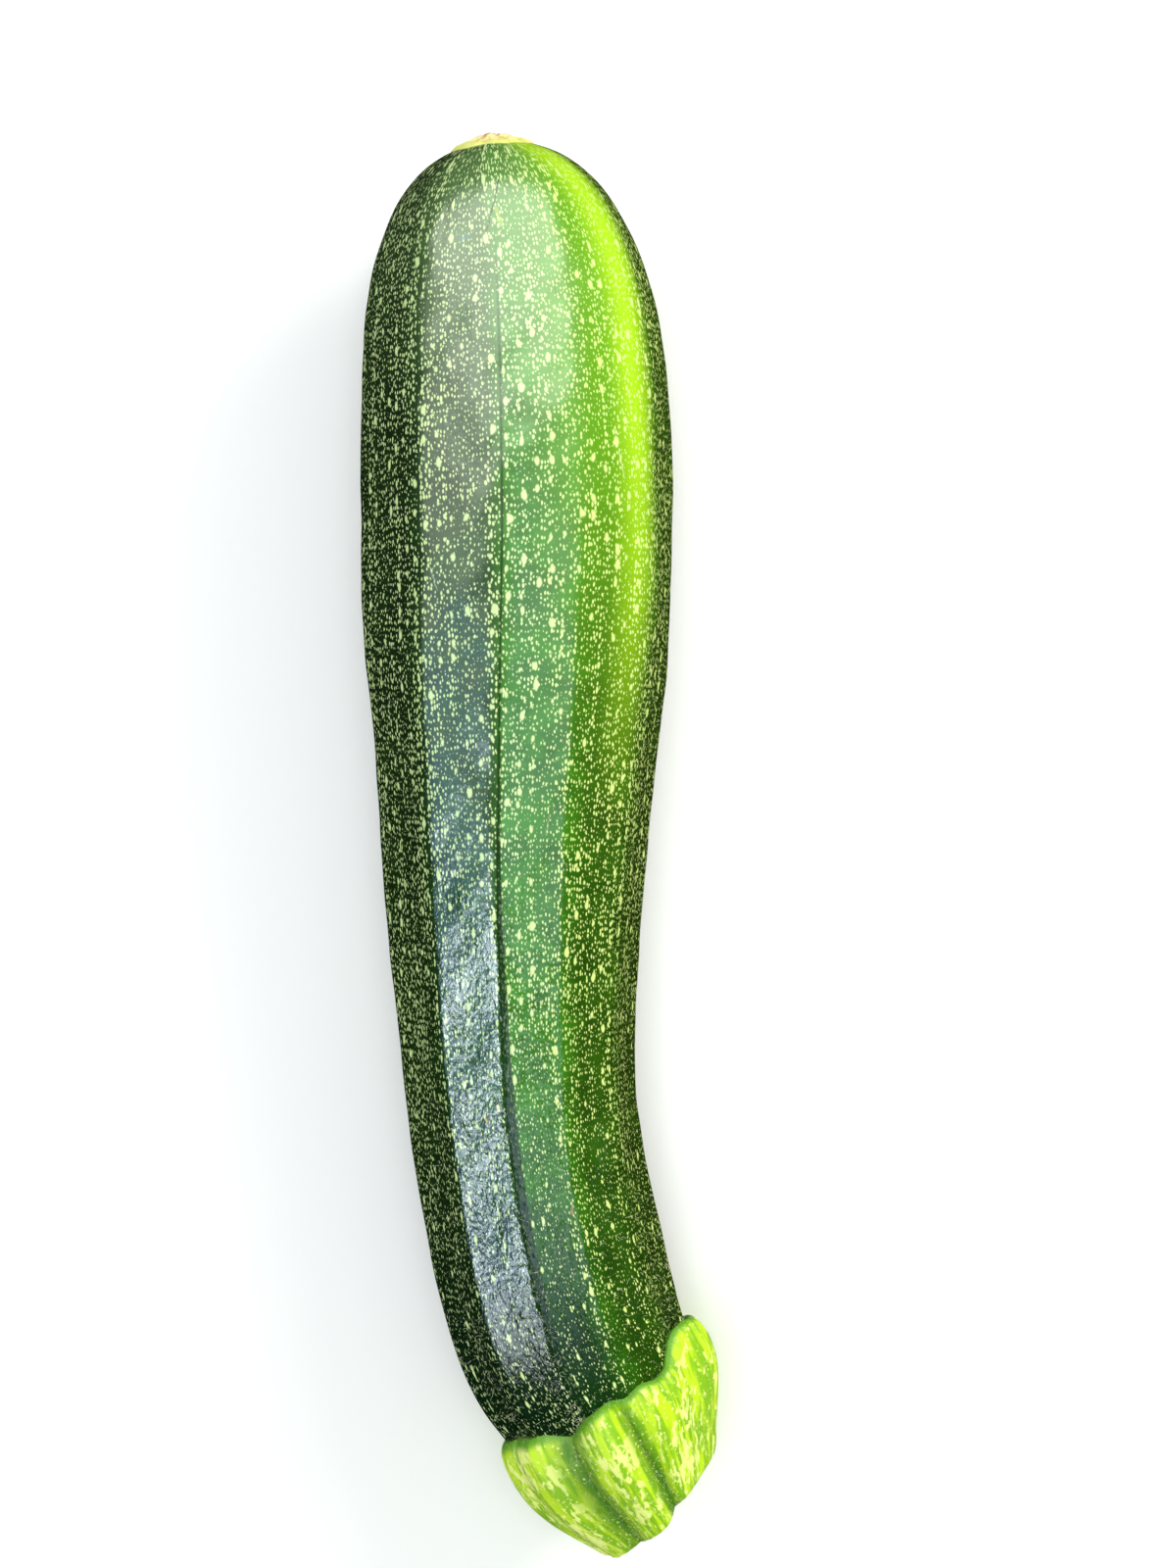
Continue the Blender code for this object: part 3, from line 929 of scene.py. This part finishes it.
@dataclass(frozen=True)
class SkinFinish:
    """Waxy cucurbit skin, grown: dark green with lengthwise rows of pale speckles.

    The wax gives a soft gloss, which fine skin cells break up. The speckles are paler cells
    under the wax. The skin is darker by the stem with painted shade, weaker on the right. It is
    yellower and lighter towards the lamps on the right, partly its own colour and partly
    painted light.

    Attributes:
        ground: the colour between the speckles at each angle round the fruit, partly the skin's
        own tones and partly painted light and shade: darkest on the left flank, away from the
        lamps, and lightest just right of the keel, on the face that looks up.
        roughness, wrinkle_depth: what they are by the stem, and at the blossom end.
        cell_spacing: how far apart the skin's fine wrinkles are.
        turn_scale: millimetres of unrolled skin for a radian.
    """

    ground: tuple[tuple[float, str], ...] = (
        (-180.0, "#1f3b0a"), (-100.0, "#193208"), (-45.0, "#142b09"), (-33.0, "#16360d"),
        (-8.0, "#1c450c"), (-3.0, "#33740f"), (22.0, "#326c0b"), (33.0, "#264e04"),
        (50.0, "#294f04"), (70.0, "#243e06"), (110.0, "#1c3408"), (180.0, "#1c3508"),
    )
    # Partly the skin's own colours and partly painted light: a yellow-green side and a bright band
    # towards the lamps on the right, and a pale blossom tip with painted sheen on it.
    yellow_and_painted_light: str = "#6cae0c"
    pale_band_and_painted_light: str = "#aada04"
    pale_tip_and_painted_sheen: str = "#668c50"
    keel_shade: str = "#082808"
    neck_shade: str = "#08200e"
    speckle: str = "#cbe29a"
    yellower_speckle: str = "#d0e482"
    fine: Speckles = Speckles((0.46, 0.96), 0.185, 0.12, 0.12)
    medium: Speckles = Speckles((1.8, 3.6), 0.05, 0.15, 0.06)
    blotch: Speckles = Speckles((3.8, 5.4), 0.0, 0.15, 0.04)
    marks: tuple[Mark, ...] = (
        Mark((193.0, -19.5), (187.5, -26.5), 0.28, "#1c2a12", 0.8),
        Mark((187.5, -26.5), (181.8, -32.2), 0.22, "#26361a", 0.7),
        Mark((190.7, -13.3), (186.0, -21.7), 0.22, "#26361a", 0.6),
        Mark((192.6, 2.0), (184.8, -6.0), 0.28, "#1c2a12", 0.8),
        Mark((188.2, -0.8), (185.6, 0.6), 0.70, "#a3b84c", 0.5),
        Mark((184.2, -17.2), (184.4, -13.6), 0.70, "#3d6a70", 0.6),
        Mark((134.4, -31.3), (131.0, -28.5), 0.22, "#a8bc98", 0.5),
        Mark((52.6, -17.0), (52.4, -16.6), 0.45, "#c89a48", 0.8),
        Mark((54.6, -10.0), (53.9, -9.8), 0.55, "#d4d898", 0.8),
        Mark((37.4, 19.4), (36.6, 19.0), 0.60, "#8c8250", 0.7),
        Mark((124.6, -15.0), (124.6, -15.0), 0.55, "#12260e", 0.8),
        Mark((121.0, -17.3), (121.0, -17.3), 0.45, "#12260e", 0.8),
        Mark((98.0, 16.0), (95.2, 14.8), 0.25, "#8da05c", 0.6),
        Mark((150.5, 41.0), (147.0, 43.2), 0.25, "#c8d88a", 0.6),
    )
    specular: float = 0.8
    roughness: tuple[float, float] = (0.17, 0.265)
    wrinkle_depth: tuple[float, float] = (0.19, 0.05)
    cell_spacing: float = 0.8
    turn_scale: float = 20.0

    def speckled(self, add: Add, place: Socket, unrolled: Node, distance: Socket) -> Node:
        """Draws the speckles, which join in blotches, and thin out by the stem and the ribs.

        Args:
            add: adds a node to the material.
            place: the place on the skin.
            unrolled: the place on the unrolled skin.
            distance: the distance along the fruit.

        Returns:
            The mask of them all.
        """
        ragged = moved_about(add, moved_about(add, unrolled, 2.0, 0.9), 0.6, 0.25)
        blotches = self.blotch.draw(add, ragged, 0.0)
        rows = add("VectorMath", (place, (1.0, 1.0, 0.03)))
        strands = add("TexNoise", {"Vector": rows, "Scale": 1.0 / 0.8, "Detail": 2.0})
        patches = add("TexNoise", {"Vector": place, "Scale": 1.0 / 8.0, "Detail": 2.0})
        from_rib = add("Attribute", attribute_name="from_rib").outputs["Fac"]
        from_rib = off_by(add, from_rib, 0.0)
        height = add("SeparateXYZ", (place,)).outputs["Y"]
        growth = add("MapRange", (strands, 0.34, 0.66, -0.09, 0.07))
        for step in (
            (patches, 0.35, 0.65, -0.02, 0.02),
            (from_rib, 0.1, 0.35, -0.15, 0.0),
            (from_rib, 0.6, 2.2, 0.05, 0.0),
            (distance, 10.0, 80.0, -0.09, 0.0),
            (height, 1.0, 8.0, -0.03, 0.0),
            (blotches, 0.0, 1.0, 0.0, 0.16),
        ):
            growth = add("Math", (growth, add("MapRange", step)), operation="ADD")
        uneven = moved_about(add, unrolled, 1.3, 0.18)
        fine = self.fine.draw(add, uneven, growth)
        medium = self.medium.draw(add, uneven, add("Math", (growth, 0.4)))
        return add("Math", (fine, medium), operation="MAXIMUM")

    def ground_colour(
        self, add: Add, place: Socket, angle: Node, distance: Socket, shade: Node
    ) -> Node:
        """Draws the colour between the speckles, with painted light and shade: the ground round the
        fruit, a yellow-green side and a bright band towards the lamps, a pale tip with painted
        sheen, and painted shade by the stem and beside the keel.

        Args:
            add: adds a node to the material.
            place: the place on the skin.
            angle: the angle round the fruit, in radians.
            distance: the distance along the fruit.
            shade: the mask of the dark line beside the keel.

        Returns:
            The colour.
        """
        # Painted light and shade round the fruit: darkest on the left flank, lightest on the face
        # that looks up.
        share = add("Math", (angle, 0.5 / math.pi, 0.5), operation="MULTIPLY_ADD")
        ramp = add("ValToRGB", (share,))
        stops = ramp.color_ramp.elements
        for position, colour in self.ground[1:-1]:
            stops.new(position / 360.0 + 0.5)
        for stop, (position, colour) in zip(stops, self.ground):
            stop.position, stop.color = position / 360.0 + 0.5, linear(colour)
        noise = add("TexNoise", {"Vector": place, "Scale": 0.2, "Detail": 3.0})
        tone = add("MapRange", (noise, 0.3, 0.7, 0.75, 1.3))
        ground = add("VectorMath", {0: ramp, "Scale": tone}, operation="SCALE")

        from_lit_band = add("Attribute", attribute_name="from_lit_band_rib").outputs["Fac"]
        from_lit_band = off_by(add, from_lit_band, -2.2)
        blossom = (distance, 90.0, 170.0, 0.0, 0.85)
        tip = (distance, 150.0, 197.0, 0.0, 0.45)
        # Over the ground: the yellow-green side and the bright band, each partly the skin's own
        # colour and partly painted light; the pale tip, partly paler skin and partly painted sheen;
        # then painted shade by the stem, weaker on the right, and painted shade beside the keel.
        return layered(
            add,
            ground,
            (self.yellow_and_painted_light, (angle, -0.1, 0.75), (angle, 0.85, 1.25, 1.0, 0.1), blossom),
            (self.pale_band_and_painted_light, (from_lit_band, 0.0, 5.8, 1.0, 0.0), blossom),
            (self.pale_tip_and_painted_sheen, tip, (angle, -0.9, -0.35, 0.25, 1.0), (angle, 0.25, 0.6, 1.0, 0.0)),
            (self.neck_shade, (distance, 12.0, 62.0, 0.9, 0.0), (angle, 0.15, 0.5, 1.0, 0.3)),
            (self.keel_shade, shade),
        )

    def make(self) -> Material:
        """Builds the skin's material."""
        material, add = start_material("waxy_courgette_skin")
        place = add("Attribute", attribute_name="skin_place").outputs["Vector"]
        parts = add("SeparateXYZ", (place,))
        distance = parts.outputs["Z"]
        angle = add("Math", (parts.outputs["X"], parts.outputs["Y"]), operation="ARCTAN2")
        around = add("Math", (angle, self.turn_scale))
        unrolled = add("CombineXYZ", (around, distance, 0.0))

        # A dark line runs just beside the keel, and widens towards the stem.
        from_keel = add("Attribute", attribute_name="from_keel").outputs["Fac"]
        half = add("MapRange", (distance, 45.0, 115.0, 0.75, 0.12))
        aside = add("Math", (off_by(add, from_keel, half), half), operation="SUBTRACT")
        shade = masked(add, (aside, -0.15, 0.25, 0.85, 0.0), (distance, 165.0, 190.0, 1.0, 0.0))
        keep = add("Math", (1.0, shade), operation="SUBTRACT")

        speckles = self.speckled(add, place, unrolled, distance)
        colour = self.ground_colour(add, place, angle, distance, shade)
        pale = layered(add, self.speckle, (self.yellower_speckle, (angle, 0.0, 0.6)))
        wobbly = moved_about(add, unrolled, 0.9, 0.25)
        marks = ((mark.colour, mark.step(add, wobbly, self.turn_scale)) for mark in self.marks)
        colour = layered(add, colour, (pale, speckles, keep), *marks)

        # The wrinkles are deepest by the stem. The wax is smoothest there, but hairs dull it.
        cells = moved_about(add, unrolled, 1.7, 0.35)
        cells = add("VectorMath", (cells, (1.0, 0.6, 1.0)))
        fine = {"Vector": cells, "Scale": 1.0 / self.cell_spacing, "Detail": 3.0}
        wrinkles = add("TexNoise", fine)
        swell = add("TexNoise", {"Vector": place, "Scale": 1.0 / 7.0, "Detail": 1.0})
        deepest, shallowest = (depth * MM for depth in self.wrinkle_depth)
        depth = add("MapRange", (distance, 45.0, 120.0, deepest, shallowest))
        normal = add("Bump", {"Height": swell, "Distance": 0.2 * MM, "Strength": 1.0})
        rough = {"Height": wrinkles, "Distance": depth, "Strength": 1.0, "Normal": normal}
        normal = add("Bump", rough)
        faded = (distance, 10.0, 32.0, 0.1, self.specular)
        gloss = add("MapRange", faded, interpolation_type="LINEAR")
        return finish_material(
            material,
            Base_Color=colour,
            Roughness=add("MapRange", (distance, 50.0, 140.0, *self.roughness)),
            Specular_IOR_Level=gloss,
            Normal=normal,
        )


@dataclass(frozen=True)
class StemFinish:
    """Living stem skin, grown: lime green and matt, with pale streaks of air-filled cells.

    The fine down on it takes the gloss off. Its furrows carry painted shade. The cut shows pale
    pith with a ring of veins.
    """

    lime: str = "#82b804"
    bright: str = "#bce208"
    streak: str = "#e6f482"
    # Painted shade in the furrows.
    furrow: str = "#347004"
    lip: str = "#5c9a06"
    dot: str = "#dcee7c"
    pith: str = "#d3dfa6"
    vein: str = "#8fa860"
    roughness: float = 0.55
    specular: float = 0.3

    def make(self) -> Material:
        """Builds the stem's material."""
        material, add = start_material("downy_stem_skin")
        place = add("Attribute", attribute_name="stem_place").outputs["Vector"]
        furrow = add("Attribute", attribute_name="furrow").outputs["Fac"]
        cut_share = add("Attribute", attribute_name="cut_share").outputs["Fac"]
        along = add("SeparateXYZ", (place,)).outputs["Z"]

        # Streaks are about twice as long as wide, and gather in clumps.
        uneven = moved_about(add, place, 1.3, 0.45)
        drawn_out = add("VectorMath", (uneven, (1.0, 1.0, 0.42)))
        flecks = add("TexNoise", {"Vector": drawn_out, "Scale": 1.0 / 0.85, "Detail": 3.0})
        clumps = add("TexNoise", {"Vector": place, "Scale": 1.0 / 5.0, "Detail": 1.0})
        lifted = add("MapRange", (clumps, 0.3, 0.7, -0.11, 0.09), interpolation_type="LINEAR")
        flecks = add("Math", (flecks, lifted), operation="ADD")
        fibre = add("VectorMath", (place, (1.0, 1.0, 0.12)))
        strands = add("TexNoise", {"Vector": fibre, "Scale": 1.0 / 0.8, "Detail": 2.0})
        dots = add("TexVoronoi", {"Vector": place, "Scale": 1.0 / 0.75})
        veins = add("TexVoronoi", {"Vector": place, "Scale": 1.0 / 1.5})
        off_vein = off_by(add, cut_share, 0.78)
        on_cut = (cut_share, 0.95, 1.05, 1.0, 0.0)
        colour = layered(
            add,
            self.lime,
            (self.bright, (strands, 0.4, 0.6)),
            # Painted shade darkens the furrows.
            (self.furrow, (furrow, 0.15, 0.75, 0.0, 0.85)),
            (self.streak, (flecks, 0.51, 0.61), (furrow, 0.12, 0.5, 1.0, 0.1)),
            (self.dot, (dots, 0.16, 0.26, 0.7, 0.0)),
            (self.lip, (along, 0.5, 1.6, 1.0, 0.0)),
            (self.pith, on_cut),
            (self.vein, (off_vein, 0.03, 0.10, 1.0, 0.0), (veins, 0.3, 0.5, 1.0, 0.0), on_cut),
        )
        grain = add("TexNoise", {"Vector": place, "Scale": 1.0 / 0.45, "Detail": 2.0})
        normal = add("Bump", {"Height": flecks, "Distance": 0.15 * MM, "Strength": 1.0})
        fuzz = {"Height": grain, "Distance": 0.05 * MM, "Strength": 1.0, "Normal": normal}
        return finish_material(
            material,
            Base_Color=colour,
            Roughness=self.roughness,
            Specular_IOR_Level=self.specular,
            Normal=add("Bump", fuzz),
        )


@dataclass(frozen=True)
class CorkFinish:
    """Dry plant cork, healed over a wound: pale yellow, matt and cracked, browned in spots."""

    cork: str = "#ecdf9a"
    green_rim: str = "#cdd66a"
    dried: str = "#a8641e"
    crack: str = "#6a4a1c"
    roughness: float = 0.85
    specular: float = 0.2

    def make(self) -> Material:
        """Builds the scar's material."""
        material, add = start_material("dry_plant_cork")
        place = add("Attribute", attribute_name="scar_place").outputs["Vector"]
        flat = add("VectorMath", (place, (1.0, 1.0, 0.0)))
        radius = add("VectorMath", (flat,), operation="LENGTH")
        blotches = add("TexNoise", {"Vector": place, "Scale": 1.0 / 1.3, "Detail": 3.0})
        crazing = add("TexNoise", {"Vector": place, "Scale": 1.0 / 0.45, "Detail": 3.0})
        grain = add("TexNoise", {"Vector": place, "Scale": 1.0 / 0.6, "Detail": 3.0})
        uneven = add("Math", (blotches, 5.0, radius), operation="MULTIPLY_ADD")
        near = (radius, 2.2, 4.0, 1.0, 0.35)
        colour = layered(
            add,
            self.cork,
            (self.green_rim, (uneven, 6.6, 7.8, 0.0, 0.8)),
            (self.dried, (blotches, 0.50, 0.62), near),
            (self.crack, (crazing, 0.60, 0.72, 0.0, 0.6), near),
        )
        return finish_material(
            material,
            Base_Color=colour,
            Roughness=self.roughness,
            Specular_IOR_Level=self.specular,
            Normal=add("Bump", {"Height": grain, "Distance": 0.15 * MM, "Strength": 1.0}),
        )


@dataclass(frozen=True)
class MottledFinish:
    """A matt finish in two close tones that drift over soft patches.

    Attributes:
        name: the real material's name.
        tones: its main tone, and the one in its patches.
        patch: how far apart the patches are.
        edge: the noise value where the second tone starts.
        roughness, specular: its gloss.
    """

    name: str
    tones: tuple[str, str]
    patch: float
    edge: float
    roughness: float
    specular: float

    def make(self) -> Material:
        """Builds the material."""
        material, add = start_material(self.name)
        place = add("TexCoord").outputs["Object"]
        noise = add("TexNoise", {"Vector": place, "Scale": 1.0 / (self.patch * MM)})
        main_tone, second_tone = self.tones
        return finish_material(
            material,
            Base_Color=layered(add, main_tone, (second_tone, (noise, self.edge, 0.7))),
            Roughness=self.roughness,
            Specular_IOR_Level=self.specular,
        )


# Plant hair, a row of empty cells: white, and a shade yellower in patches.
HAIR = MottledFinish("plant_hair", ("#f4f7e2", "#e4eab0"), 5.0, 0.4, 0.5, 0.05)
# Matt painted board, rolled: pale and even, with a faint mottle.
BOARD = MottledFinish("matt_white_board", ("#f7f8f6", "#f3f4f1"), 400.0, 0.3, 0.9, 0.0)


@dataclass(frozen=True)
class Lamp:
    """One soft rectangular light.

    Attributes:
        name: its name.
        at: where its middle is.
        aim: the point that it faces.
        size: its width and its height.
        radiance: how bright its surface is, where a white floor in full light is about 1.
        colour: its colour.
        rays: whether it fills or glints.
    """

    name: str
    at: tuple[float, float, float]
    aim: tuple[float, float, float]
    size: tuple[float, float]
    radiance: float
    colour: str
    rays: Rays

    def hang(self) -> None:
        """Hangs the light. Its power is its radiance times pi times its area."""
        lamp = bpy.data.lights.new(self.name, "AREA")
        lamp.shape = "RECTANGLE"
        lamp.size, lamp.size_y = (side * MM for side in self.size)
        lamp.energy = self.radiance * math.pi * lamp.size * lamp.size_y
        lamp.color = linear(self.colour)[:3]
        holder = bpy.data.objects.new(self.name, lamp)
        holder.location = Vector(self.at) * MM
        holder.rotation_mode = "QUATERNION"
        away = Vector(self.at) - Vector(self.aim)
        holder.rotation_quaternion = away.to_track_quat("Z", "Y")
        holder.visible_camera = False
        holder.visible_diffuse, holder.visible_glossy = self.rays.value
        bpy.context.scene.collection.objects.link(holder)


@dataclass
class Studio:
    """The plain pale floor, the soft lights and the camera that looks straight down."""

    floor_size: float = 3000.0
    room_colour: str = "#f0f4f6"
    room_radiance: float = 0.45
    camera_at: tuple[float, float, float] = (7.35, 10.3, 422.0)
    focal_pixels: float = 2640.0
    frame_height: float = 1600.0
    sensor: float = 36.0
    lamps: tuple[Lamp, ...] = (
        Lamp("key", (420, 300, 330), (0, 50, 10), (320, 320), 7.6, "#fffaf0", Rays.FILL),
        Lamp("overhead", (-60, 40, 900), (0, 20, 20), (460, 460), 6.0, "#f8faff", Rays.FILL),
        Lamp("ceiling", (0, 0, 1200), (0, 1, 0), (2400, 2400), 0.50, "#f6f8fa", Rays.FILL),
        Lamp("over", (320, -180, 820), (0, 0, 30), (360, 460), 2.0, "#d0e0ff", Rays.GLINT),
        Lamp("above", (340, 150, 860), (0, 40, 40), (420, 400), 0.8, "#eef6f8", Rays.GLINT),
        Lamp("far", (-80, 607, 693), (0, 80, 30), (1500, 1000), 5.4, "#f6faf0", Rays.GLINT),
        Lamp("side", (-690, 130, 620), (0, 40, 40), (420, 420), 2.8, "#eef8e6", Rays.GLINT),
        Lamp("left", (-660, -290, 580), (0, -10, 35), (400, 420), 2.2, "#90ccf0", Rays.GLINT),
        Lamp("neck", (-575, -465, 640), (0, -60, 35), (320, 320), 13.0, "#e6f2ff", Rays.GLINT),
    )

    def floor(self) -> None:
        """Lays the floor under the courgette."""
        sides = np.array([[-1.0, -1.0, 0.0], [1.0, -1.0, 0.0], [1.0, 1.0, 0.0], [-1.0, 1.0, 0.0]])
        corners = sides * self.floor_size / 2.0
        piece = make_piece("floor", corners, [[0, 1, 2, 3]], BOARD.make())
        piece.visible_glossy = False

    def lights(self) -> None:
        """Hangs the lights in an evenly lit room."""
        for lamp in self.lamps:
            lamp.hang()
        world = bpy.data.worlds.new("pale_room")
        world.use_nodes = True
        set_inputs(world.node_tree.nodes["Background"], (self.room_colour, self.room_radiance))
        bpy.context.scene.world = world
        world.cycles_visibility.glossy = False
        bpy.context.scene.view_settings.view_transform = "Standard"

    def camera(self) -> None:
        """Hangs the camera over the courgette, with the lens that the frame's height gives."""
        lens = bpy.data.cameras.new("camera")
        lens.sensor_width = self.sensor
        lens.lens = self.focal_pixels / self.frame_height * self.sensor
        lens.clip_start, lens.clip_end = 0.01, 20.0
        holder = bpy.data.objects.new("camera", lens)
        holder.location = Vector(self.camera_at) * MM
        bpy.context.scene.collection.objects.link(holder)
        bpy.context.scene.camera = holder


def main() -> None:
    """Builds the pieces in order, and the studio round them."""
    logging.basicConfig(level=logging.INFO, format="%(name)s %(message)s")
    fruit, stem, scar = Fruit(), Stem(), FlowerScar()
    fruit_skin, stem_skin, scar_skin = fruit.skin(), stem.skin(), scar.skin(fruit)
    hand_over(fruit_skin.build("fruit_skin", SkinFinish().make()), "courgette_skin", "fruit")
    hand_over(stem_skin.build("stem_stub", StemFinish().make()), "stem_skin", "stem")
    hand_over(scar_skin.build("scar_disc", CorkFinish().make()), "scar_cork", "flower_scar")

    hair = HAIR.make()
    by_stem, on_stem = fruit.hair_density(fruit_skin), stem.hair_density(stem_skin)
    neck = HairCoat("neck_hairs", "courgette_skin", 1300, (0.6, 1.7), 0.05, 65.0, 0.9, 11)
    body = HairCoat("body_hairs", "courgette_skin", 2500, (0.3, 0.7), 0.04, 60.0, 0.7, 12)
    down = HairCoat("stem_hairs", "stem_skin", 2600, (0.3, 0.9), 0.04, 55.0, 0.7, 13)
    for coat, skin, density in (
        (neck, fruit_skin, by_stem),
        (body, fruit_skin, np.ones_like(by_stem)),
        (down, stem_skin, on_stem),
    ):
        hand_over(coat.build(skin, density, hair), coat.slot)

    studio = Studio()
    studio.floor()
    studio.lights()
    studio.camera()


if __name__ == "__main__":
    main()
